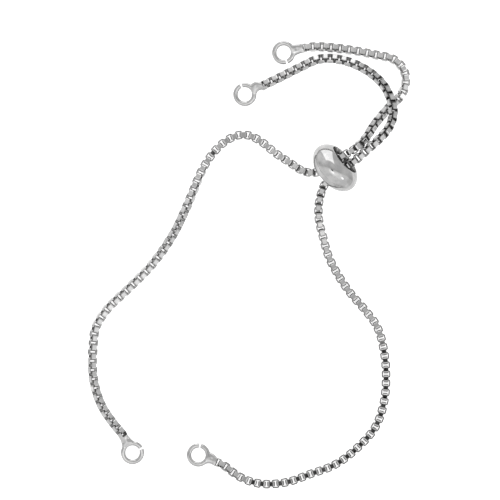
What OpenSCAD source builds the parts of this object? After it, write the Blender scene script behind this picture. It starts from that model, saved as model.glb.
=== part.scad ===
// Unfinished slider bracelet of rounded box chain, lying flat with the floor at z = 0.
// Two chains run side by side through one slider bead with a rubber plug inside.
// Each chain carries an open jump ring soldered to both of its ends.

/* [Chain] */
// Width of the chain, across its round links
chain_w = 1.5; // [1.4:0.05:1.5]
// Distance that one link takes up, with the chain pulled straight
link_pitch = 0.774; // [0.76:0.002:0.8]
// Length of one link
link_l = 1.26; // [1.24:0.01:1.28]
// Diameter that the links are rounded to
link_round = 1.56; // [1.54:0.02:1.6]
// Width of the strip that a link is bent from
strip_w = 0.72; // [0.6:0.02:0.76]
// Thickness of that strip
strip_t = 0.14; // [0.12:0.01:0.16]

/* [Slider bead] */
// Largest diameter of the bead
bead_d = 9.2; // [9:0.1:9.4]
// Length of the bead along its hole
bead_l = 4.5; // [4.4:0.1:4.8]
// Diameter of the hole through the bead
bead_hole = 5.4; // [5.3:0.1:5.5]
// Width of the flat lip round each mouth
bead_lip = 0.1; // [0.05:0.05:0.3]
// Diameter of the plug that grips the chains
plug_d = 5.2; // [5.1:0.05:5.25]
// Length of that plug
plug_l = 3; // [2.6:0.1:3]
// Height of the slot through the plug
slot_h = 1.9; // [1.85:0.05:2]

/* [Jump rings] */
// Outer diameter of a jump ring
ring_d = 4; // [3.9:0.1:4.1]
// Thickness of its wire
ring_wire = 0.8; // [0.7:0.05:0.9]
// Width of the cut in a ring
ring_gap = 0.3; // [0.2:0.05:0.5]
// Centre of a ring to the centre of the chain link soldered to it
ring_reach = 3.5; // [3.4:0.1:3.6]
// Thickness of the web of solder between ring and chain
web_t = 0.7; // [0.6:0.05:0.75]
// Narrowest width of that web
web_w = 1.4; // [1.2:0.1:1.5]
// Diameter of the solder round the end of the chain
solder_d = 1.24; // [1.1:0.02:1.3]

/* [Hidden] */
$fn = 64;
large_fn = 128;

// Spread of the two chains from the middle of the plug
chain_gap = 0.2;
chain_spread = (chain_w + chain_gap) / 2;

// Bead: where its middle stands, which way its hole points, and how far it tips up
bead_at = [14.6, 16.5];
bead_turn = 40.5;
bead_tip = 15;
// The chains cross the bead a little askew
pair_turn = 34.5;
// The outside of the bead is one arc from lip to lip, which fixes the arc's centre and radius
lip_r = bead_hole / 2 + bead_lip;
arc_at = (pow(bead_d / 2, 2) - pow(lip_r, 2) - pow(bead_l / 2, 2)) / (bead_d - 2 * lip_r);
arc_r = bead_d / 2 - arc_at;
// The tipped bead rests on its arc
bead_z = arc_at * cos(bead_tip) + arc_r;

// Jump rings: place on the floor, direction towards the chain, direction of the cut
LOWER_LEFT = [-19.8, -31.9, 119, 25];
LOWER_RIGHT = [-8.6, -32.3, -21, 81];
UPPER_RIGHT = [5.9, 36.1, 13, -72];
UPPER_LEFT = [-0.7, 29, 26, 112];
ring_mid_r = (ring_d - ring_wire) / 2;

// Height of the middle of the chain when it lies on the floor, turned about its own length
function rest_height(roll) =
    max(
        chain_w / 2 * abs(cos(roll)) + strip_w / 2 * abs(sin(roll)),
        chain_w / 2 * abs(sin(roll)) + strip_w / 2 * abs(cos(roll))
    );

// A ring leans on the end of its chain, so its far side alone touches the floor
function ring_tip(roll) = asin((rest_height(roll) - ring_wire / 2) / (ring_reach + ring_mid_r));
function ring_z(roll) = ring_wire / 2 + ring_mid_r * sin(ring_tip(roll));
function ring_centre(ring, roll) = [ring[0], ring[1], ring_z(roll)];
function ring_exit(ring, roll) =
    [
        ring[0] + ring_reach * cos(ring[2]) * cos(ring_tip(roll)),
        ring[1] + ring_reach * sin(ring[2]) * cos(ring_tip(roll)),
        rest_height(roll)
    ];

// A point in the bead, from its middle, along the chains and to one side of them
function in_bead(along, aside) =
    [
        bead_at[0] + along * cos(bead_tip) * cos(pair_turn) - aside * sin(pair_turn),
        bead_at[1] + along * cos(bead_tip) * sin(pair_turn) + aside * cos(pair_turn),
        bead_z + along * sin(bead_tip)
    ];

// Turn of each chain about its own length: distance along the chain, then the angle
ROLL_LEFT = [[0, 45], [16, 45], [22, 20], [35, 20], [42, 40], [52, 35], [60, 5], [76, 0],
    [84, 0], [90, 40], [96, 40], [101, 5], [130, 0]];
ROLL_RIGHT = [[0, 0], [76, 0], [82, 20], [86, 30], [92, 40], [110, 40], [118, 25], [130, 25]];

// Route of each chain over the floor, from ring to ring: across, along, height of its middle.
// A height of zero means that it lies on the floor.
ROUTE_LEFT = concat(
    [ring_centre(LOWER_LEFT, 45), ring_exit(LOWER_LEFT, 45)],
    [
        [-23, -27, 0], [-25, -24, 0], [-26.5, -19, 0], [-26.5, -14, 0],
        [-26, -10.5, 0], [-24.5, -8, 0], [-20.5, -4, 0], [-17, -0.5, 0],
        [-15, 2, 0], [-13, 5, 0], [-11, 9, 0], [-9.5, 12.5, 0],
        [-8, 16, 0], [-6.5, 18.5, 0], [-4, 21, 0], [-2, 22, 0], [0, 22, 0],
        [2, 21, 0.8], [4.5, 19, 1.1], [7.5, 17, 2], [8.5, 16.3, 2.5], [9.5, 15.85, 2.95],
        [10.65, 15.65, 3.4], [11.8, 15.8, 3.75]
    ],
    [for (along = [-1.5, 0, 1.5]) in_bead(along, chain_spread)],
    [
        [16.6, 18.9, 5], [18.1, 19.85, 4.5], [19.3, 20.95, 3.7], [20.2, 22.1, 2.9],
        [21, 23.4, 2.1], [22.5, 25.3, 1.2], [24, 27, 0], [25.3, 28.2, 0],
        [26.1, 29.3, 0], [26.55, 30.6, 0], [26.6, 32, 0], [26.1, 33.45, 0],
        [25.2, 34.5, 0], [24, 35.2, 0], [22.5, 35.5, 0], [18, 36.4, 0],
        [14.5, 36.9, 0], [11.5, 37.1, 0]
    ],
    [ring_exit(UPPER_RIGHT, 0), ring_centre(UPPER_RIGHT, 0)]
);
ROUTE_RIGHT = concat(
    [ring_centre(LOWER_RIGHT, 0), ring_exit(LOWER_RIGHT, 0)],
    [
        [-4, -34.3, 0], [-2, -35.8, 0], [1, -37, 0], [6, -37, 0], [10.5, -35.5, 0],
        [14.5, -34, 0], [18.5, -31, 0], [21.5, -27.5, 0], [23, -23, 0],
        [23.3, -19, 0], [23, -15, 0], [21.5, -10, 0], [20, -8, 0], [17, -4.5, 0],
        [15, -1.5, 0], [13.5, 1.5, 0], [12.5, 5, 0.9], [11.9, 7.5, 1.4],
        [11.8, 9.8, 2.1], [12.2, 12, 2.9], [12.8, 13.6, 3.6]
    ],
    [for (along = [-1.5, 0, 1.5]) in_bead(along, -chain_spread)],
    [
        [18.3, 18, 5.4], [20.2, 19.7, 5.4], [22, 21.3, 4.9], [23.5, 23, 4.1],
        [24.25, 24.5, 3.4], [24.5, 26, 2.9], [24.35, 27.2, 2.7], [24, 28.3, 2.4],
        [23.5, 29.5, 1.9], [22.5, 31, 1.3], [21, 32.4, 0.9], [18.5, 33.9, 0], [15.5, 34.9, 0],
        [12, 35, 0], [8.5, 33.5, 0], [5.5, 32, 0]
    ],
    [ring_exit(UPPER_LEFT, 25), ring_centre(UPPER_LEFT, 25)]
);

// A smooth curve through a route, with this many steps between two of its points
route_steps = 8;
function unit(v) = v / norm(v);
function lifted(p) = p[2] == 0 ? [p[0], p[1], chain_w / 2] : p;
function slope(p, i) =
    i == 0 ? unit(p[1] - p[0]) :
    i == len(p) - 1 ? unit(p[i] - p[i - 1]) :
    unit(
        unit(p[i] - p[i - 1]) * norm(p[i + 1] - p[i])
        + unit(p[i + 1] - p[i]) * norm(p[i] - p[i - 1])
    );
function between(p, i, t) =
    let (d = norm(p[i + 1] - p[i]))
    (2 * pow(t, 3) - 3 * pow(t, 2) + 1) * p[i]
    + (pow(t, 3) - 2 * pow(t, 2) + t) * d * slope(p, i)
    + (3 * pow(t, 2) - 2 * pow(t, 3)) * p[i + 1]
    + (pow(t, 3) - pow(t, 2)) * d * slope(p, i + 1);
function curve(p) =
    concat(
        [for (i = [0 : len(p) - 2]) for (k = [0 : route_steps - 1]) between(p, i, k / route_steps)],
        [p[len(p) - 1]]
    );
function distances(q) =
    [for (i = 0, s = 0; i < len(q); s = s + norm(q[min(i + 1, len(q) - 1)] - q[i]), i = i + 1) s];

// A track gives x, y and z against the distance along the curve, with its length in last place
function track(route) =
    let (
        q = curve([for (p = route) lifted(p)]),
        s = distances(q)
    )
    [
        for (axis = [0 : 2]) [for (i = [0 : len(q) - 1]) [s[i], q[i][axis]]],
        s[len(s) - 1]
    ];
function spot(way, rolls, s) =
    [lookup(s, way[0]), lookup(s, way[1]), max(lookup(s, way[2]), rest_height(lookup(s, rolls)))];
function heading(way, rolls, s) =
    unit(spot(way, rolls, s + link_pitch / 4) - spot(way, rolls, s - link_pitch / 4));

// Links between the two that are soldered to the rings, and the distance that each takes up
function link_count(way) = round((way[3] - 2 * ring_reach) / link_pitch);
function link_step(way) = (way[3] - 2 * ring_reach) / link_count(way);
way_left = track(ROUTE_LEFT);
way_right = track(ROUTE_RIGHT);

// Sets its children at a distance along a chain, with x along the chain and z up
module on_chain(way, rolls, s) {
    t = heading(way, rolls, s);
    side = unit(cross([0, 0, 1], t));
    up = cross(t, side);
    p = spot(way, rolls, s);
    multmatrix([
        [t[0], side[0], up[0], p[0]],
        [t[1], side[1], up[1], p[1]],
        [t[2], side[2], up[2], p[2]],
        [0, 0, 0, 1]
    ])
        children();
}

// One link: a strip bent into a loop, with its corners rounded off
module loop_outline(inset) {
    intersection() {
        circle(d = link_round - 2 * inset);
        square([link_l - 2 * inset, chain_w - 2 * inset], center = true);
    }
}

module chain_link() {
    linear_extrude(strip_w, center = true)
        difference() {
            loop_outline(0);
            loop_outline(strip_t);
        }
}

// Link number i of a chain; every second one is turned a quarter about the chain
module link_in_chain(way, rolls, i) {
    s = ring_reach + i * link_step(way);
    on_chain(way, rolls, s)
        rotate([lookup(s, rolls) + 90 * (i % 2), 0, 0])
            chain_link();
}

// The outer form of a chain: a tube of eight sides along the same curve
tube_sides = 8;
tube_rings = 80;
tube_end_gap = 0.2;

module chain_tube(way, rolls) {
    from = ring_reach + link_l / 2 + tube_end_gap;
    step = (way[3] - 2 * from) / (tube_rings - 1);
    points = [
        for (k = [0 : tube_rings - 1])
            let (
                s = from + k * step,
                t = heading(way, rolls, s),
                side = unit(cross([0, 0, 1], t)),
                up = cross(t, side)
            )
            for (j = [0 : tube_sides - 1])
                spot(way, rolls, s)
                + chain_w / 2 * (cos(j * 360 / tube_sides) * side + sin(j * 360 / tube_sides) * up)
    ];
    walls = [
        for (k = [0 : tube_rings - 2])
            for (j = [0 : tube_sides - 1])
                [
                    k * tube_sides + j,
                    (k + 1) * tube_sides + j,
                    (k + 1) * tube_sides + (j + 1) % tube_sides,
                    k * tube_sides + (j + 1) % tube_sides
                ]
    ];
    first_end = [for (j = [0 : tube_sides - 1]) j];
    last_end = [for (j = [tube_sides - 1 : -1 : 0]) (tube_rings - 1) * tube_sides + j];
    polyhedron(points = points, faces = concat(walls, [first_end, last_end]));
}

// Web of solder, seen from above: it spreads from the end of the chain and runs into the ring.
// Each flank is an arc that dips just under the ring's outer edge.
web_dip = 0.1;
flank_from = ring_d / 2 - web_dip;
flank_k = flank_from - web_w / 2;
flank_y = (pow(ring_reach, 2) - pow(flank_k, 2)) / (2 * flank_k);
flank_r = flank_y - web_w / 2;
flank_turn = atan2(flank_y, ring_reach);

// The solder fills the end link from this far behind its middle to this far before it
solder_behind = 0.95;
solder_before = 0.15;
web_end = ring_reach - 0.3;

module web_outline() {
    wide = flank_from * sin(flank_turn);
    narrow = flank_from * cos(flank_turn);
    difference() {
        polygon([[0, 0], [narrow, wide], [web_end, wide], [web_end, -wide], [narrow, -wide]]);
        for (y = [-flank_y, flank_y])
            translate([ring_reach, y])
                circle(r = flank_r, $fn = large_fn);
        circle(r = ring_mid_r);
    }
}

// Open ring, with the cut at a given direction in its own plane
module open_ring(cut) {
    cut_angle = 2 * asin(ring_gap / 2 / ring_mid_r);
    rotate([0, 0, cut + cut_angle / 2])
        rotate_extrude(angle = 360 - cut_angle)
            translate([ring_mid_r, 0])
                circle(d = ring_wire);
}

// A jump ring, its solder and the end link of the chain, which are one piece of metal
module soldered_ring(ring, way, rolls, i) {
    roll = lookup(i == 0 ? 0 : way[3], rolls);
    color("silver")
        union() {
            translate(ring_centre(ring, roll))
                rotate([0, -ring_tip(roll), ring[2]]) {
                    open_ring(ring[3] - ring[2]);
                    linear_extrude(web_t, center = true)
                        web_outline();
                    translate([ring_reach - solder_behind, 0, 0])
                        rotate([0, 90, 0])
                            cylinder(d = solder_d, h = solder_behind - solder_before);
                }
            link_in_chain(way, rolls, i);
        }
}

module chain_left() {
    color("silver")
        chain_tube(way_left, ROLL_LEFT);
}

module chain_right() {
    color("silver")
        for (i = [1 : link_count(way_right) - 1])
            link_in_chain(way_right, ROLL_RIGHT, i);
}

module ring_lower_left() {
    soldered_ring(LOWER_LEFT, way_left, ROLL_LEFT, 0);
}

module ring_lower_right() {
    soldered_ring(LOWER_RIGHT, way_right, ROLL_RIGHT, 0);
}

module ring_upper_right() {
    soldered_ring(UPPER_RIGHT, way_left, ROLL_LEFT, link_count(way_left));
}

module ring_upper_left() {
    soldered_ring(UPPER_LEFT, way_right, ROLL_RIGHT, link_count(way_right));
}

// Sets its children in the bead, with z along its hole
module in_bead_frame() {
    translate([bead_at[0], bead_at[1], bead_z])
        rotate([0, 90 - bead_tip, bead_turn])
            children();
}

// Round bead with a wide hole, whose outside is one arc
module slider_bead() {
    color("gainsboro")
        in_bead_frame()
            rotate_extrude()
                intersection() {
                    translate([arc_at, 0])
                        circle(r = arc_r, $fn = large_fn);
                    translate([bead_hole / 2, -bead_l / 2])
                        square([bead_d, bead_l]);
                }
}

// Rubber plug in the middle of the bead, with one slot that both chains are pulled through
module grip_plug() {
    color("dimgray")
        difference() {
            in_bead_frame()
                cylinder(d = plug_d, h = plug_l, center = true);
            translate([bead_at[0], bead_at[1], bead_z])
                rotate([0, -bead_tip, pair_turn])
                    rotate([0, 90, 0]) {
                        for (aside = [-chain_spread, chain_spread])
                            translate([0, aside, 0])
                                cylinder(d = slot_h, h = 2 * plug_l, center = true);
                        cube([slot_h, 2 * chain_spread, 2 * plug_l], center = true);
                    }
        }
}

chain_left();
chain_right();
ring_lower_left();
ring_lower_right();
ring_upper_right();
ring_upper_left();
slider_bead();
grip_plug();
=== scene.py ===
import math

import bpy
import numpy as np
from mathutils import Matrix, Vector


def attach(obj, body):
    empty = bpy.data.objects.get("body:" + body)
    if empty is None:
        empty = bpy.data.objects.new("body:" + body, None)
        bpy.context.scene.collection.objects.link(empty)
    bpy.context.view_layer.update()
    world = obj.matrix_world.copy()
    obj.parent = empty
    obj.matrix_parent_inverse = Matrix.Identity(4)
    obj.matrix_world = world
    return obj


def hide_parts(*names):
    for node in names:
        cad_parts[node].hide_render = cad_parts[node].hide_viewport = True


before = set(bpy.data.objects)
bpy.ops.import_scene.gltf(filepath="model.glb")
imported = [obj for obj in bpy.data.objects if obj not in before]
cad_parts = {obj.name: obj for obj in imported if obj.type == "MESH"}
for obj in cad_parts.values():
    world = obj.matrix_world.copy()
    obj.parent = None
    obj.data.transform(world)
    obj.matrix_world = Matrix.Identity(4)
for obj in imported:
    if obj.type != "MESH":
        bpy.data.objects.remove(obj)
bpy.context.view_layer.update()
scene = bpy.context.scene

# The camera looks straight down on the bracelet, as in the photograph, through a long lens.
# One pixel is 0.17 mm at the height of the chain, and the picture is 500 pixels each way.
mm = 0.001
pixel = 0.17 * mm
picture = 500
aimed_at = (0.17 * mm, 2.55 * mm)
chain_middle = 0.75 * mm
lens = bpy.data.cameras.new("overhead")
lens.sensor_width = 36
lens.lens = 800
lens.clip_start = 0.01
lens.clip_end = 20
camera = bpy.data.objects.new("overhead", lens)
camera.location = (*aimed_at, picture * pixel * lens.lens / lens.sensor_width + chain_middle)
scene.collection.objects.link(camera)
scene.camera = camera
scene.view_settings.view_transform = "Standard"


# A light table of white acrylic, with a pale tent round it. The metal doesn't mirror the table but the tent
# alone: its near and far halves, a window beyond the top of the picture and, low down, the edge of a white
# sheet. The lens looks in through a small dark opening overhead, and a lamp stands to one side.
class Wire:
    """A socket of a node tree, so that sums on nodes are written as plain sums."""

    def __init__(self, tree, node=None, output=0):
        self.tree = tree
        self.node = node
        self.socket = node.outputs[output] if node else None

    def add(self, kind, settings=None, inputs=None, output=0):
        """A node of any kind, from its settings and what its sockets hold, as the output that is wanted."""
        node = self.tree.nodes.new(kind)
        for name, value in (settings or {}).items():
            setattr(node, name, value)
        for name, value in (inputs or {}).items():
            self.feed(node.inputs[name], value)
        return Wire(self.tree, node, output)

    def feed(self, socket, value):
        """Links a wire to a socket, or sets the socket to a plain value."""
        if isinstance(value, Wire):
            self.tree.links.new(value.socket, socket)
        else:
            socket.default_value = value

    def out(self, output):
        return Wire(self.tree, self.node, output)

    def sum(self, operation, *values):
        return self.add("ShaderNodeMath", {"operation": operation}, dict(enumerate(values)))

    def __add__(self, other):
        return self.sum("ADD", self, other)

    def __radd__(self, other):
        return self.sum("ADD", other, self)

    def __sub__(self, other):
        return self.sum("SUBTRACT", self, other)

    def __rsub__(self, other):
        return self.sum("SUBTRACT", other, self)

    def __mul__(self, other):
        return self.sum("MULTIPLY", self, other)

    def __rmul__(self, other):
        return self.sum("MULTIPLY", other, self)

    def ramped(self, low, high):
        """Smoothly from 0 to 1 as the value goes from low to high."""
        smooth = {"interpolation_type": "SMOOTHSTEP"}
        return self.add("ShaderNodeMapRange", smooth, {0: self, 1: low, 2: high})

    def within(self, low, high, soft):
        """One between low and high, and softly none outside them."""
        return self.ramped(low - soft, low) * (1 - self.ramped(high, high + soft))

    def toward(self, direction):
        """The cosine between a direction and the one that this wire carries."""
        return self.add(
            "ShaderNodeVectorMath",
            {"operation": "DOT_PRODUCT"},
            {0: self, 1: Vector(direction).normalized()},
            output="Value",
        )

    def mixed(self, first, second, factor):
        """One colour into another as the factor goes from 0 to 1. The node's colour sockets go by number."""
        return self.add("ShaderNodeMix", {"data_type": "RGBA"}, {0: factor, 6: first, 7: second}, output=2)


def grey(value, warmth=0.0):
    """A grey, and where it is warm a little redder and less blue."""
    return (value * (1 + warmth), value, value * (1 - warmth), 1)


def bearing(turn, from_zenith):
    """The direction at a turn from +X and an angle from straight up."""
    a, z = math.radians(turn), math.radians(from_zenith)
    return (math.cos(a) * math.sin(z), math.sin(a) * math.sin(z), math.cos(z))


tent = bpy.data.worlds.new("tent")
tent.use_nodes = True
tent.node_tree.nodes.clear()
scene.world = tent
sky = Wire(tent.node_tree)
way = sky.add("ShaderNodeTexCoord", output="Generated")
up = way.toward((0, 0, 1))
level = 90


def patch(amount, turn, from_zenith, outer, painted_shade):
    """An amount on a soft round patch of the tent: none past the outer angle, all inside the inner one."""
    edge, core = math.cos(math.radians(outer)), math.cos(math.radians(painted_shade))
    return amount * way.toward(bearing(turn, from_zenith)).ramped(edge, core)


near_light = 0.9
far_shade = 0.2
far_roof_shade = 0.07
seam_faces = (0, 1, -0.2)
seam_nearer = 0.15
past_seam = way.toward(seam_faces) + seam_nearer
near_half = 1 - past_seam.ramped(0.0, 0.06)
light = near_light - far_shade * past_seam.ramped(-0.02, 0.08)
light = light - far_roof_shade * past_seam.within(low=0.05, high=0.1, soft=0.3) * up.ramped(0.2, 0.8)
light = light + near_half * (
    patch(0.75, turn=260, from_zenith=11.3, outer=11, painted_shade=4)
    + patch(0.4, turn=250, from_zenith=14, outer=24, painted_shade=6)
    + patch(0.25, turn=325, from_zenith=38, outer=28, painted_shade=8)
)

window_light = 0.92
window_lean = 0.12
window_width = (way.toward((1, 0, 0)) - window_lean * up).within(low=-0.37, high=0.34, soft=0.05)
window_height = up.within(low=-0.4, high=0.6, soft=0.07)
light = light + window_light * window_width * window_height * past_seam.ramped(0.3, 0.5)

light = light - patch(0.22, turn=272, from_zenith=105, outer=30, painted_shade=8)
light = light - patch(0.22, turn=340, from_zenith=104, outer=26, painted_shade=8)
light = light + patch(0.2, turn=138, from_zenith=75, outer=40, painted_shade=20)
light = light - patch(0.12, turn=178, from_zenith=75, outer=22, painted_shade=10)
light = light + patch(0.25, turn=185, from_zenith=125, outer=30, painted_shade=15)

round_opening = patch(0.3, turn=0, from_zenith=0, outer=13, painted_shade=5)
opening = patch(0.99, turn=0, from_zenith=0, outer=4.8, painted_shade=4.2)
light = light * (1 - round_opening) * (1 - opening)

sheet_top = -0.46
sheet_end = 0.53
sheet_tone = 1.0
sheet_brighter = 0.12
sheet_edge = way.sum("MINIMUM", sheet_top - up, sheet_end - way.toward(bearing(205, level)))
sheet = sheet_edge.ramped(0, 0.03)
sheet_light = sheet_tone + sheet_brighter * way.toward(bearing(150, level)).ramped(-0.2, 0.5)
light = light * (1 - sheet) + sheet_light * sheet

gap_shade = 0.72
gap = sheet_edge.within(low=-0.055, high=-0.01, soft=0.02)
in_west = 1 - way.toward(bearing(340, level)).ramped(-0.1, 0.4)
low_down = 1 - up.ramped(-0.3, -0.1)
light = light * (1 - gap_shade * gap * in_west * low_down)

tent_light = sky.add("ShaderNodeBackground", inputs={"Color": grey(1), "Strength": light})
tent_out = tent.node_tree.nodes.new("ShaderNodeOutputWorld")
sky.feed(tent_out.inputs["Surface"], tent_light)

lamp_distance = 0.5
lamp = bpy.data.lights.new("lamp", "AREA")
lamp.shape = "DISK"
lamp.size = 0.12
lamp.energy = 0.04
lamp_stand = bpy.data.objects.new("lamp", lamp)
lamp_stand.location = Vector(bearing(turn=334, from_zenith=58)) * lamp_distance
lamp_stand.rotation_euler = lamp_stand.location.to_track_quat("Z", "Y").to_euler()
scene.collection.objects.link(lamp_stand)

floor_size = 3
floor_mesh = bpy.data.meshes.new("light_table")
floor_mesh.from_pydata(
    [(x * floor_size, y * floor_size, 0) for x, y in ((-1, -1), (1, -1), (1, 1), (-1, 1))],
    [],
    [(0, 1, 2, 3)],
)
floor = bpy.data.objects.new("light_table", floor_mesh)
scene.collection.objects.link(floor)
acrylic = bpy.data.materials.new("white_acrylic")
acrylic.use_nodes = True
shade = acrylic.node_tree.nodes["Principled BSDF"]
shade.inputs["Base Color"].default_value = grey(0.85)
shade.inputs["Roughness"].default_value = 0.9
shade.inputs["Emission Color"].default_value = grey(1)
shade.inputs["Emission Strength"].default_value = 0.8
floor_mesh.materials.append(acrylic)
floor.visible_glossy = False


# The left chain: rounded box chain, 1.5 mm wide, of links bent from flat steel strip, each turned a quarter
# from the last. It runs from the lower left ring, through the bead and under the crossing, to the upper right
# ring. All sizes are in millimetres, and a ring reaches from its middle to the end link in its solder.
link_pitch = 0.774
link_l = 1.28
link_w = 1.5
strip_w = 0.84
strip_t = 0.22
strip_edge = 0.07
ring_mid = 1.6
wire_r = 0.4
ring_reach = 3.5
bead_at = (14.6, 16.5, 4.52)
bead_tip = 15
pair_turn = 34.5
chain_spread = 0.85


def rest_height(roll):
    """Height of a chain's middle when it lies on the table, turned about its own length."""
    c, s = abs(math.cos(math.radians(roll))), abs(math.sin(math.radians(roll)))
    return max(link_w / 2 * c + strip_w / 2 * s, link_w / 2 * s + strip_w / 2 * c)


def ring_frame(ring):
    """From a ring's own millimetres, neck along x, to the table's, on which the ring's far side rests."""
    tip = math.asin((rest_height(ring["roll"]) - wire_r) / (ring_reach + ring_mid))
    lift = wire_r + ring_mid * math.sin(tip)
    return (
        Matrix.Translation((ring["x"], ring["y"], lift))
        @ Matrix.Rotation(math.radians(ring["turn"]), 4, "Z")
        @ Matrix.Rotation(-tip, 4, "Y")
    )


def from_ring(ring):
    """The start of a chain's route: the middle of its ring, and the end link in the solder."""
    return [ring_frame(ring) @ Vector((along, 0, 0)) for along in (0, ring_reach)]


def through_bead(aside, reach=1.5):
    """Three points of a route inside the bead, along the chains and to one side of its middle."""
    tip, turn = math.radians(bead_tip), math.radians(pair_turn)
    return [
        (
            bead_at[0] + along * math.cos(tip) * math.cos(turn) - aside * math.sin(turn),
            bead_at[1] + along * math.cos(tip) * math.sin(turn) + aside * math.cos(turn),
            bead_at[2] + along * math.sin(tip),
        )
        for along in (-reach, 0, reach)
    ]


def smooth_route(points, rolls, steps=8, samples=1200):
    """A chain's middle line from end link to end link, the chain's turn at its points, and its length."""
    p = np.array(points, float)
    p[:, 2] = np.where(p[:, 2] == 0, link_w / 2, p[:, 2])
    gap = np.diff(p, axis=0)
    length = np.linalg.norm(gap, axis=1)
    unit = gap / length[:, None]
    slope = np.vstack([unit[:1], unit[:-1] * length[1:, None] + unit[1:] * length[:-1, None], unit[-1:]])
    slope /= np.linalg.norm(slope, axis=1)[:, None]
    t = (np.arange(steps) / steps)[None, :, None]
    a, b = p[:-1, None], p[1:, None]
    da, db = slope[:-1, None] * length[:, None, None], slope[1:, None] * length[:, None, None]
    line = (
        (2 * t**3 - 3 * t**2 + 1) * a + (t**3 - 2 * t**2 + t) * da
        + (3 * t**2 - 2 * t**3) * b + (t**3 - t**2) * db
    ).reshape(-1, 3)
    line = np.vstack([line, p[-1:]])
    far = np.concatenate([[0], np.cumsum(np.linalg.norm(np.diff(line, axis=0), axis=1))])
    at = np.linspace(ring_reach, far[-1] - ring_reach, samples)
    turn = np.interp(at, *np.array(rolls, float).T)
    line = np.stack([np.interp(at, far, line[:, k]) for k in range(3)], axis=1)
    line[:, 2] = np.maximum(line[:, 2], [rest_height(r) for r in turn])
    return line, turn, far[-1] - 2 * ring_reach


def link_shape():
    """One link: a strip bent into a rounded box, with its outer edges eased. Its parts painted in shade are
    marked: inside, at the corners towards its ends and along its eased edges.
    """
    half, ease = strip_w / 2, strip_edge
    corner = [(0.3, link_w / 2), (0.475, 0.705), (0.585, 0.56), (link_l / 2, 0.31)]
    # Painted shade, from none on the flat face to full at the end bars, where the next links crowd in.
    shade_toward_end = (0, 0.1, 0.6, 1)
    outline, end_shade = [], []
    for x_way, y_way, order in ((1, 1, 1), (1, -1, -1), (-1, -1, 1), (-1, 1, -1)):
        outline += [(x_way * x, y_way * y) for x, y in corner[::order]]
        end_shade += shade_toward_end[::order]
    along = np.roll(outline, -1, axis=0) - outline
    along /= np.linalg.norm(along, axis=1)[:, None]
    out_after = np.stack([-along[:, 1], along[:, 0]], axis=1)
    out_before = np.roll(out_after, 1, axis=0)
    mitre = (out_after + out_before) / (1 + (out_after * out_before).sum(axis=1))[:, None]

    section = [
        (0, half - ease), (ease, half), (strip_t, half),
        (strip_t, -half), (ease, -half), (0, ease - half),
    ]
    eased, rims, inside = (0, 4), (1, 3), 2
    # Painted shade on the eased edges and on the inside of the strip, where the links shade each other.
    eased_shade, inside_shade = 0.4, 0.55
    sharp_from = math.radians(40)
    n, around = len(section), len(outline)
    points = [
        (x - inset * out_x, y - inset * out_y, z)
        for (x, y), (out_x, out_y) in zip(outline, mitre.tolist()) for inset, z in section
    ]
    faces, shade_values = [], []
    for here in range(around):
        after = (here + 1) % around
        for side in range(n):
            turned = (side + 1) % n
            faces.append((here * n + side, here * n + turned, after * n + turned, after * n + side))
            if side == inside:
                shade_values += [inside_shade] * 4
            elif side in rims:
                shade_values += [float(c in (inside, inside + 1)) for c in (side, turned, turned, side)]
            else:
                least = eased_shade if side in eased else 0.0
                shade_values += [max(least, end_shade[c]) for c in (here, here, after, after)]

    shape = bpy.data.meshes.new("link")
    shape.from_pydata(points, [], faces)
    shape.shade_smooth()
    shape.set_sharp_from_angle(angle=sharp_from)
    for edge in shape.edges:
        a, b = edge.vertices[0] // n, edge.vertices[1] // n
        ends_corner = a % len(corner) in (0, len(corner) - 1)
        if a == b and ends_corner:
            edge.use_edge_sharp = True
    # The painted shade is stored on each corner, for the steel's colour.
    shape.attributes.new("painted_shade", "FLOAT", "CORNER").data.foreach_set("value", shade_values)
    return shape


def plain_steel(name, tone, rough, grain, crevice_shade):
    """Polished stainless steel with clouds and fine scratches, with painted shade, darker and rougher, where
    the mesh marks its recesses.
    """
    cloud_scale, scratch_scale = 900, 9000
    scratch_depth = 0.01 * mm
    # The last dark and rough values are those of the painted shade in recesses.
    cloud_dark, cloud_bright, shine_dark, crevice_shade_dark = 0.9, 1.06, 0.88, 0.2
    cloud_rough, shine_rough, crevice_shade_rough = 0.5, 0.03, 0.25
    steel = bpy.data.materials.new(name)
    steel.use_nodes = True
    place = Wire(steel.node_tree).add("ShaderNodeTexCoord", output="Object")
    cloud = place.add("ShaderNodeTexNoise", inputs={"Vector": place, "Scale": cloud_scale, "Detail": 4})
    scratch = place.add(
        "ShaderNodeTexNoise",
        inputs={"Vector": place, "Scale": scratch_scale, "Detail": 3, "Roughness": 0.7},
    )
    shine = place.add("ShaderNodeAttribute", {"attribute_name": "shine"}, output="Fac")
    # Painted shade: the marked recesses are darkened and made rougher.
    painted_shade = crevice_shade * place.add("ShaderNodeAttribute", {"attribute_name": "painted_shade"}, output="Fac")
    bright = grey(tone * cloud_bright, warmth=0.006)
    colour = place.mixed(grey(tone * cloud_dark), bright, cloud.ramped(0.35, 0.65))
    colour = place.mixed(colour, grey(tone * shine_dark), shine.ramped(0.0, 1.0))
    colour = place.mixed(colour, grey(tone * crevice_shade_dark, warmth=0.02), painted_shade)
    roughness = rough + cloud_rough * rough * cloud.ramped(0.3, 0.7)
    roughness = roughness + shine_rough * shine + crevice_shade_rough * painted_shade
    dents = place.add(
        "ShaderNodeBump", inputs={"Strength": grain, "Distance": scratch_depth, "Height": scratch}
    )
    finish = steel.node_tree.nodes["Principled BSDF"]
    finish.inputs["Metallic"].default_value = 1
    place.feed(finish.inputs["Base Color"], colour)
    place.feed(finish.inputs["Roughness"], roughness)
    place.feed(finish.inputs["Normal"], dents)
    return steel


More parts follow.
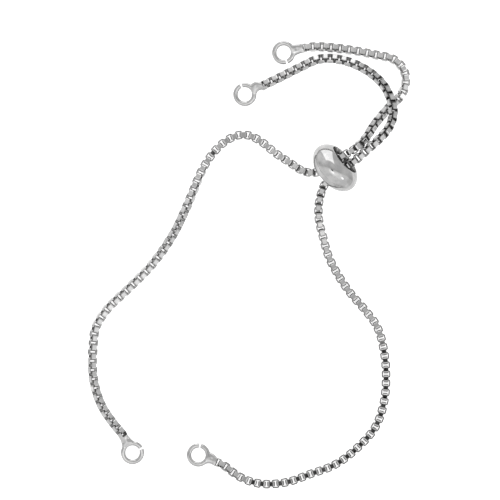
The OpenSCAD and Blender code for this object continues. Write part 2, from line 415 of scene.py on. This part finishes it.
def link_tree():
    """Geometry nodes that lay links along a line, each turned a quarter from the last, none at its ends."""
    tree = bpy.data.node_groups.new("box_chain", "GeometryNodeTree")
    face = tree.interface
    face.new_socket("Geometry", in_out="OUTPUT", socket_type="NodeSocketGeometry")
    for name, kind in (
        ("Geometry", "Geometry"), ("Link", "Object"), ("Steps", "Int"), ("Play", "Float"),
        ("Seed", "Int"), ("Size", "Float"), ("Finish", "Material"),
    ):
        face.new_socket(name, in_out="INPUT", socket_type="NodeSocket" + kind)
    given = Wire(tree).add("NodeGroupInput")
    steps = given.out("Steps")
    seed = given.out("Seed")

    line = given.add("GeometryNodeMeshToCurve", inputs={"Mesh": given.out("Geometry")})
    line = given.add("GeometryNodeResampleCurve", {"mode": "COUNT"}, {"Curve": line, "Count": steps + 1})
    number = given.add("GeometryNodeInputIndex")
    between_ends = number.sum("GREATER_THAN", number, 0.5) * number.sum("LESS_THAN", number, steps - 0.5)

    roll = given.add(
        "GeometryNodeInputNamedAttribute", {"data_type": "FLOAT"}, {"Name": "roll"}, output="Attribute"
    )
    quarter = number.sum("MODULO", number, 2.0) * math.radians(90)
    most_play = Vector((0.8, 0.6, 0.6))
    play = given.add(
        "FunctionNodeRandomValue", {"data_type": "FLOAT_VECTOR"}, {0: -most_play, 1: most_play, "Seed": seed}
    )
    play = given.add("ShaderNodeVectorMath", {"operation": "SCALE"}, {0: play, "Scale": given.out("Play")})
    spin = given.add("ShaderNodeCombineXYZ", inputs={"X": roll + quarter})
    turn = given.add("ShaderNodeVectorMath", {"operation": "ADD"}, {0: play, 1: spin})
    aim = given.add(
        "FunctionNodeAxesToRotation", {"primary_axis": "X", "secondary_axis": "Z"},
        {"Primary Axis": given.add("GeometryNodeInputTangent"), "Secondary Axis": (0, 0, 1)},
    )
    aim = given.add(
        "FunctionNodeRotateRotation", {"rotation_space": "LOCAL"}, {"Rotation": aim, "Rotate By": turn}
    )

    one_link = given.add(
        "GeometryNodeObjectInfo", inputs={"Object": given.out("Link"), "As Instance": True}, output="Geometry"
    )
    laid = given.add(
        "GeometryNodeInstanceOnPoints",
        inputs={"Points": line, "Selection": between_ends, "Instance": one_link, "Rotation": aim},
    )
    # The random node's sockets 2 and 3 and its output 1 are those for plain numbers
    shine = given.add(
        "FunctionNodeRandomValue", {"data_type": "FLOAT"}, {2: 0.0, 3: 1.0, "Seed": seed}, output=1
    )
    laid = given.add(
        "GeometryNodeStoreNamedAttribute", {"data_type": "FLOAT", "domain": "INSTANCE"},
        {"Geometry": laid, "Name": "shine", "Value": shine},
    )
    chain = given.add("GeometryNodeRealizeInstances", inputs={"Geometry": laid})
    size = given.add("ShaderNodeCombineXYZ", inputs={axis: given.out("Size") for axis in "XYZ"})
    chain = given.add("GeometryNodeTransform", inputs={"Geometry": chain, "Scale": size})
    chain = given.add("GeometryNodeSetMaterial", inputs={"Geometry": chain, "Material": given.out("Finish")})
    given.feed(tree.nodes.new("NodeGroupOutput").inputs[0], chain)
    return tree


def lay_chain(name, node, route, rolls, odd, seed, play, steel):
    """One chain's links as a plain mesh, which stands for its solid. The number of steps is odd or even."""
    line, turn, length = smooth_route(route, rolls)
    steps = 2 * round((length / link_pitch - odd) / 2) + odd
    path = bpy.data.meshes.new(name)
    path.from_pydata(line.tolist(), [(i, i + 1) for i in range(len(line) - 1)], [])
    path.attributes.new("roll", "FLOAT", "POINT").data.foreach_set("value", np.radians(turn))
    chain = bpy.data.objects.new(name, path)
    scene.collection.objects.link(chain)
    links = chain.modifiers.new("links", "NODES")
    links.node_group = box_chain
    given = {
        "Link": link, "Steps": steps, "Play": math.radians(play),
        "Seed": seed, "Size": mm, "Finish": steel,
    }
    for item in box_chain.interface.items_tree:
        if item.in_out == "INPUT" and item.name in given:
            links[item.identifier] = given[item.name]
    chain.update_tag()
    bpy.context.view_layer.update()
    deps = bpy.context.evaluated_depsgraph_get()
    laid = chain.evaluated_get(deps)
    made = bpy.data.meshes.new_from_object(laid, preserve_all_data_layers=True, depsgraph=deps)
    chain.modifiers.remove(links)
    chain.data = made
    made.name = name
    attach(chain, "root")
    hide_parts(node)


# Where the rings lie, and the route between them: across, up the picture and height, with 0 for a chain that
# lies on the table. Then the chain's turn about its own length, in degrees, by the distance along the route.
lower_left = dict(x=-19.8, y=-31.9, turn=119, roll=45)
upper_right = dict(x=5.9, y=36.1, turn=13, roll=0)
route_left = [
    *from_ring(lower_left),
    (-23, -27, 0), (-25, -24, 0), (-26.5, -19, 0), (-26.5, -14, 0),
    (-26, -10.5, 0), (-24.5, -8, 0), (-20.5, -4, 0), (-17, -0.5, 0),
    (-15, 2, 0), (-13, 5, 0), (-11, 9, 0), (-9.5, 12.5, 0),
    (-8, 16, 0), (-6.5, 18.5, 0), (-4, 21, 0), (-2, 22, 0), (0, 22, 0),
    (2, 21, 0.8), (4.5, 19, 1.1), (7.5, 17, 2), (8.5, 16.3, 2.5), (9.5, 15.85, 2.95),
    (10.65, 15.65, 3.4), (11.8, 15.8, 3.75),
    *through_bead(chain_spread),
    (16.6, 18.9, 5), (18.1, 19.85, 4.5), (19.3, 20.95, 3.7), (20.2, 22.1, 2.9),
    (21, 23.4, 2.1), (22.5, 25.3, 1.2), (24, 27, 0), (25.3, 28.2, 0),
    (26.1, 29.3, 0), (26.55, 30.6, 0), (26.6, 32, 0), (26.1, 33.45, 0),
    (25.2, 34.5, 0), (24, 35.2, 0), (22.5, 35.5, 0), (18, 36.4, 0),
    (14.5, 36.9, 0), (11.5, 37.1, 0),
    *reversed(from_ring(upper_right)),
]
rolls_left = [
    (0, 45), (10, 43), (15, 32), (19, 20), (37, 22), (42, 34), (47, 50), (53, 70), (57, 84),
    (59.5, 90), (62, 86), (76, 88), (85, 84), (88, 90), (90.5, 118), (94, 138), (97, 144),
    (100, 124), (103, 104), (115, 102), (118, 112), (121, 114), (124, 100),
]
link = bpy.data.objects.new("link", link_shape())
scene.collection.objects.link(link)
box_chain = link_tree()
# The last number sets the depth of the painted shade in the links' crevices.
left_steel = plain_steel("left_link_steel", tone=0.7, rough=0.06, grain=0.03, crevice_shade=0.9)
lay_chain("left_chain", "chain_left", route_left, rolls_left, odd=1, seed=3, play=1.2, steel=left_steel)


# The right chain is cut from the same stock, with a little more painted shade in its crevices. It runs from
# the lower right ring, through the bead beside the other chain, and over the crossing to the upper left ring.
lower_right = dict(x=-8.6, y=-32.3, turn=-21, roll=0)
upper_left = dict(x=-0.7, y=29, turn=26, roll=-33)
route_right = [
    *from_ring(lower_right),
    (-4, -34.3, 0), (-2, -35.8, 0), (1, -37, 0), (6, -37, 0), (10.5, -35.5, 0),
    (14.5, -34, 0), (18.5, -31, 0), (21.5, -27.5, 0), (23, -23, 0),
    (23.3, -19, 0), (23, -15, 0), (21.5, -10, 0), (20, -8, 0), (17, -4.5, 0),
    (15, -1.5, 0), (13.5, 1.5, 0), (12.5, 5, 0.9), (11.9, 7.5, 1.4),
    (11.8, 9.8, 2.1), (12.2, 12, 2.9), (12.8, 13.6, 3.6),
    *through_bead(-chain_spread),
    (18.3, 18, 5.4), (20.2, 19.7, 5.4), (22, 21.3, 4.9), (23.5, 23, 4.1),
    (24.25, 24.5, 3.4), (24.5, 26, 2.9), (24.35, 27.2, 2.7), (24, 28.3, 2.4),
    (23.5, 29.5, 1.9), (22.5, 31, 1.3), (21, 32.4, 0.9), (18.5, 33.9, 0), (15.5, 34.9, 0),
    (12, 35, 0), (8.5, 33.5, 0), (5.5, 32, 0),
    *reversed(from_ring(upper_left)),
]
rolls_right = [
    (0, -14), (5.5, -14), (8.5, -6), (10, 0), (47.5, 0), (49, 1.8), (52.5, 2.4), (54, 3.2),
    (57, 4), (61, 5), (72, 5.5), (76, 1), (79, 0), (83.5, 15), (87, 15), (90, 20), (93.5, 28),
    (97, 37), (108, 37), (118, 32), (130, 33),
]
# Its painted shade in the crevices is a little deeper than the left chain's.
right_steel = plain_steel("right_link_steel", tone=0.64, rough=0.06, grain=0.03, crevice_shade=1.2)
lay_chain("right_chain", "chain_right", route_right, rolls_right, odd=0, seed=8, play=0.5, steel=right_steel)


# The jump rings: 4 mm rings of 0.8 mm wire, cut square and left a little open. Solder joins each to the last
# link of its chain in one tapered neck, whose flanks run into the ring. The neck is hollow along its middle,
# or on both sides of a ridge.
ring_gap = 0.3


def swept_rings(rings):
    """A closed shape from rows of points, with flat ends."""
    n = len(rings[0])
    points = [p for row in rings for p in row]
    faces = [
        (i * n + k, i * n + (k + 1) % n, (i + 1) * n + (k + 1) % n, (i + 1) * n + k)
        for i in range(len(rings) - 1) for k in range(n)
    ]
    faces += [tuple(reversed(range(n))), tuple((len(rings) - 1) * n + k for k in range(n))]
    return points, faces


def open_ring(cut, steps=120, sides=28):
    """The wire of a ring, in its own plane, with square ends on both sides of the cut."""
    half = math.asin(ring_gap / 2 / ring_mid)
    around = np.linspace(half, math.tau - half, steps)
    end_ease = [(0, 0.93), (0.012, 1)]
    stations = [(around[0] + past_end, size) for past_end, size in end_ease]
    stations += [(a, 1) for a in around[1:-1]]
    stations += [(around[-1] - past_end, size) for past_end, size in reversed(end_ease)]
    rows = []
    for a, size in stations:
        turn = a + cut
        row = []
        for k in range(sides):
            b = k * math.tau / sides
            r = ring_mid + wire_r * size * math.cos(b)
            row.append((r * math.cos(turn), r * math.sin(turn), wire_r * size * math.sin(b)))
        rows.append(row)
    return swept_rings(rows)


def neck(roll, neck_end, flank, lean, dip, ridge, steps=48, sides=40):
    """The solder between ring and chain: wide at the ring, and hollow along its middle or beside a ridge."""
    neck_start = 1.3
    half_width, flank_curve = 0.78, 2.2
    lean_bow, lean_back = 1.5, 0.5
    thick_start, thick_flat, thick_turned, thick_curve = 0.38, 0.5, 0.25, 0.8
    thick_end = thick_flat + thick_turned * math.sin(math.radians(2 * abs(roll)))
    end_length, end_size = 0.25, 0.65
    hollow_at, hollow_length, hollow_width = 2.4, 0.36, 0.35
    square_y, square_z = 0.8, 0.7
    rows = []
    for i in range(steps):
        u = neck_start + (neck_end - neck_start) * i / (steps - 1)
        t = (neck_end - u) / (neck_end - neck_start)
        wide = half_width + flank * t**flank_curve
        aside = lean * (lean_bow * math.sin(math.pi * t) - lean_back)
        thick = thick_start + (thick_end - thick_start) * (1 - t) ** thick_curve
        closing = min(1, (neck_end - u) / end_length)
        size = math.sqrt(1 - (1 - closing) ** 2) * (1 - end_size) + end_size
        hollow = dip * math.exp(-(((u - hollow_at) / hollow_length) ** 2))
        row = []
        for k in range(sides):
            b = k * math.tau / sides
            y, z = math.cos(b), math.sin(b)
            y = math.copysign(abs(y) ** square_y, y)
            z = math.copysign(abs(z) ** square_z, z)
            low = 1 - hollow * math.exp(-(((abs(y) - ridge) / hollow_width) ** 2))
            row.append((u, aside + wide * size * y, thick * size * z * low))
        rows.append(row)
    return swept_rings(rows)


def filling(start=3.0, end=3.4, half_width=0.5, half_height=0.3, steps=6, sides=16):
    """Solder that has run on into the last link, a little lower than its rim."""
    round_it = [k * math.tau / sides for k in range(sides)]
    return swept_rings(
        [
            [(u, half_width * math.cos(b), half_height * math.sin(b)) for b in round_it]
            for u in np.linspace(start, end, steps)
        ]
    )


def fused(name, points, faces, voxel=0.04):
    """An object whose overlapping shapes have become one skin."""
    piece = bpy.data.objects.new(name, bpy.data.meshes.new(name))
    piece.data.from_pydata(points, [], faces)
    scene.collection.objects.link(piece)
    fuse = piece.modifiers.new("fuse", "REMESH")
    fuse.mode = "VOXEL"
    fuse.voxel_size = voxel
    fuse.use_smooth_shade = True
    bpy.context.view_layer.update()
    deps = bpy.context.evaluated_depsgraph_get()
    skin = bpy.data.meshes.new_from_object(piece.evaluated_get(deps), depsgraph=deps)
    piece.modifiers.clear()
    piece.data = skin
    skin.name = name
    return piece


def smoothed(skin):
    """The skin's points once the remesh's steps are gone, with the solder left softer than wire and link."""
    co = np.empty(len(skin.vertices) * 3)
    skin.vertices.foreach_get("co", co)
    co = co.reshape(-1, 3)
    edges = np.empty(len(skin.edges) * 2, int)
    skin.edges.foreach_get("vertices", edges)
    edges = edges.reshape(-1, 2)
    count = np.bincount(edges.ravel(), minlength=len(co))[:, None]
    solder_start, solder_end, wire_edge = 1.2, 3.15, 1.5
    start_fade, end_fade, edge_fade = 0.4, 0.3, 0.3
    past_start = np.clip((co[:, 0] - solder_start) / start_fade, 0, 1)
    before_end = np.clip((solder_end - co[:, 0]) / end_fade, 0, 1)
    off_wire = np.clip((np.hypot(co[:, 0], co[:, 1]) - wire_edge) / edge_fade, 0, 1)
    solder = past_start * before_end * off_wire
    solder_passes, even_passes = 24, 8
    inwards, outwards = 0.5, -0.52
    for step in range(solder_passes):
        near = np.zeros_like(co)
        np.add.at(near, edges[:, 0], co[edges[:, 1]])
        np.add.at(near, edges[:, 1], co[edges[:, 0]])
        pull = near / count - co
        even = (inwards if step % 2 == 0 else outwards) if step < even_passes else 0.0
        co += pull * (even * (1 - solder) + inwards * solder)[:, None]
    return co


def soldered_ring(name, node, ring, cut, neck_end, flank, lean, dip, ridge=0):
    """A ring, its neck and the end link in the solder, as one piece, with painted shade inside the link."""
    off_solder, dark_along, dark_across = 0.02, 0.5, 0.6
    end_link = Matrix.Translation((ring_reach, 0, 0)) @ Matrix.Rotation(math.radians(ring["roll"]), 4, "X")
    points, faces = [], []
    for part_points, part_faces in (
        open_ring(math.radians(cut - ring["turn"])),
        neck(ring["roll"], neck_end, flank, lean, dip, ridge),
        filling(),
        ([end_link @ v.co for v in link.data.vertices], [q.vertices for q in link.data.polygons]),
    ):
        faces += [tuple(i + len(points) for i in face) for face in part_faces]
        points += [tuple(p) for p in part_points]
    piece = fused(name, points, faces)
    skin = piece.data
    co = smoothed(skin)

    # Painted shade on the end link's inside, past the solder.
    past_solder = co[:, 0] > neck_end + off_solder
    in_link = (co - (ring_reach, 0, 0)) @ np.array(end_link.to_3x3())
    painted_shade = past_solder & (abs(in_link[:, 0]) < dark_along) & (abs(in_link[:, 1]) < dark_across)
    skin.attributes.new("painted_shade", "FLOAT", "POINT").data.foreach_set("value", painted_shade.astype(float))
    place = ring_frame(ring)
    turned, moved = np.array(place.to_3x3()), np.array(place.translation)
    skin.vertices.foreach_set("co", ((co @ turned.T + moved) * mm).ravel())
    skin.update()
    skin.materials.clear()
    skin.materials.append(ring_steel)
    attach(piece, "root")
    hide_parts(node)


# The last number sets the depth of the painted shade inside the end links.
ring_steel = plain_steel("ring_steel", tone=0.56, rough=0.08, grain=0.03, crevice_shade=1)
soldered_ring(
    "lower_left_ring", "ring_lower_left", lower_left,
    cut=25, neck_end=3.2, flank=0.55, lean=0, dip=0.42, ridge=0.62,
)
soldered_ring(
    "lower_right_ring", "ring_lower_right", lower_right,
    cut=81, neck_end=3.35, flank=0.5, lean=0.2, dip=0.1,
)
soldered_ring(
    "upper_right_ring", "ring_upper_right", upper_right,
    cut=-72, neck_end=3.55, flank=0.35, lean=0.05, dip=0.1,
)
soldered_ring(
    "upper_left_ring", "ring_upper_left", upper_left,
    cut=112, neck_end=3.55, flank=0.3, lean=0.35, dip=0.08,
)
bpy.data.objects.remove(link)


# The slider bead: one turned and mirror-polished piece of steel, 9.2 mm across, with a wide hole that flares
# towards its mouths and has its lips rounded over. It hangs on both chains, tipped as they leave it.
bead_turn = 40.5
bead_r = 4.6
bead_axis = 2.97
bead_half = 2.25
hole_r = 2.7
lip_round = 0.1
flare = 0.14
flare_depth = 0.65


def bead_section(outside_steps=72, lip_steps=8, wall_steps=8, lip_angle=0.03):
    """Half of the bead's section: over the outside, round a lip, back through the hole, round the other."""
    end = math.asin(bead_half / bead_axis) - lip_angle
    outside = [
        (bead_r * math.cos(a), bead_axis * math.sin(a)) for a in np.linspace(-end, end, outside_steps)
    ]
    lip = []
    for k in range(lip_steps + 1):
        a = math.radians(90 + 90 * k / lip_steps)
        lip.append(
            (
                hole_r + flare + lip_round + lip_round * math.cos(a),
                bead_half - lip_round + lip_round * math.sin(a),
            )
        )
    wall_half = bead_half - flare_depth
    wall = [(hole_r, z) for z in np.linspace(wall_half, -wall_half, wall_steps)]
    return outside + lip + wall + [(r, -z) for r, z in reversed(lip)]


def turned_bead(steps=180):
    """The section turned about the hole, and set where it lies, as points in metres and faces."""
    section = bead_section()
    place = (
        Matrix.Translation(bead_at)
        @ Matrix.Rotation(math.radians(bead_turn), 4, "Z")
        @ Matrix.Rotation(math.radians(90 - bead_tip), 4, "Y")
    )
    points = []
    for k in range(steps):
        a = k * math.tau / steps
        points += [tuple((place @ Vector((r * math.cos(a), r * math.sin(a), z))) * mm) for r, z in section]
    n = len(section)
    faces = []
    for k in range(steps):
        here, after = k * n, (k + 1) % steps * n
        faces += [(here + i, after + i, after + (i + 1) % n, here + (i + 1) % n) for i in range(n)]
    return points, faces


bead_points, bead_faces = turned_bead()
bead_mesh = bpy.data.meshes.new("slider")
bead_mesh.from_pydata(bead_points, [], bead_faces)
bead_mesh.shade_smooth()
bead_mesh.materials.append(plain_steel("bead_steel", tone=0.56, rough=0.08, grain=0, crevice_shade=0))
bead = bpy.data.objects.new("slider", bead_mesh)
scene.collection.objects.link(bead)
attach(bead, "root")
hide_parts("slider_bead")


# The plug inside the bead: a disc of silicone rubber, slotted for the two chains, which grips them.
# It is coloured near black, and only its face shows, deep in the mouth.
rubber = bpy.data.materials.new("plug_rubber")
rubber.use_nodes = True
place = Wire(rubber.node_tree).add("ShaderNodeTexCoord", output="Object")
speckle = place.add("ShaderNodeTexNoise", inputs={"Vector": place, "Scale": 5000, "Detail": 4})
soft = rubber.node_tree.nodes["Principled BSDF"]
place.feed(soft.inputs["Base Color"], place.mixed(grey(0.03), grey(0.06), speckle))
place.feed(soft.inputs["Roughness"], 0.55 + 0.2 * speckle)
place.feed(
    soft.inputs["Normal"],
    place.add("ShaderNodeBump", inputs={"Strength": 0.4, "Distance": 0.02 * mm, "Height": speckle}),
)
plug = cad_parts["grip_plug"]
plug.data.materials.clear()
plug.data.materials.append(rubber)
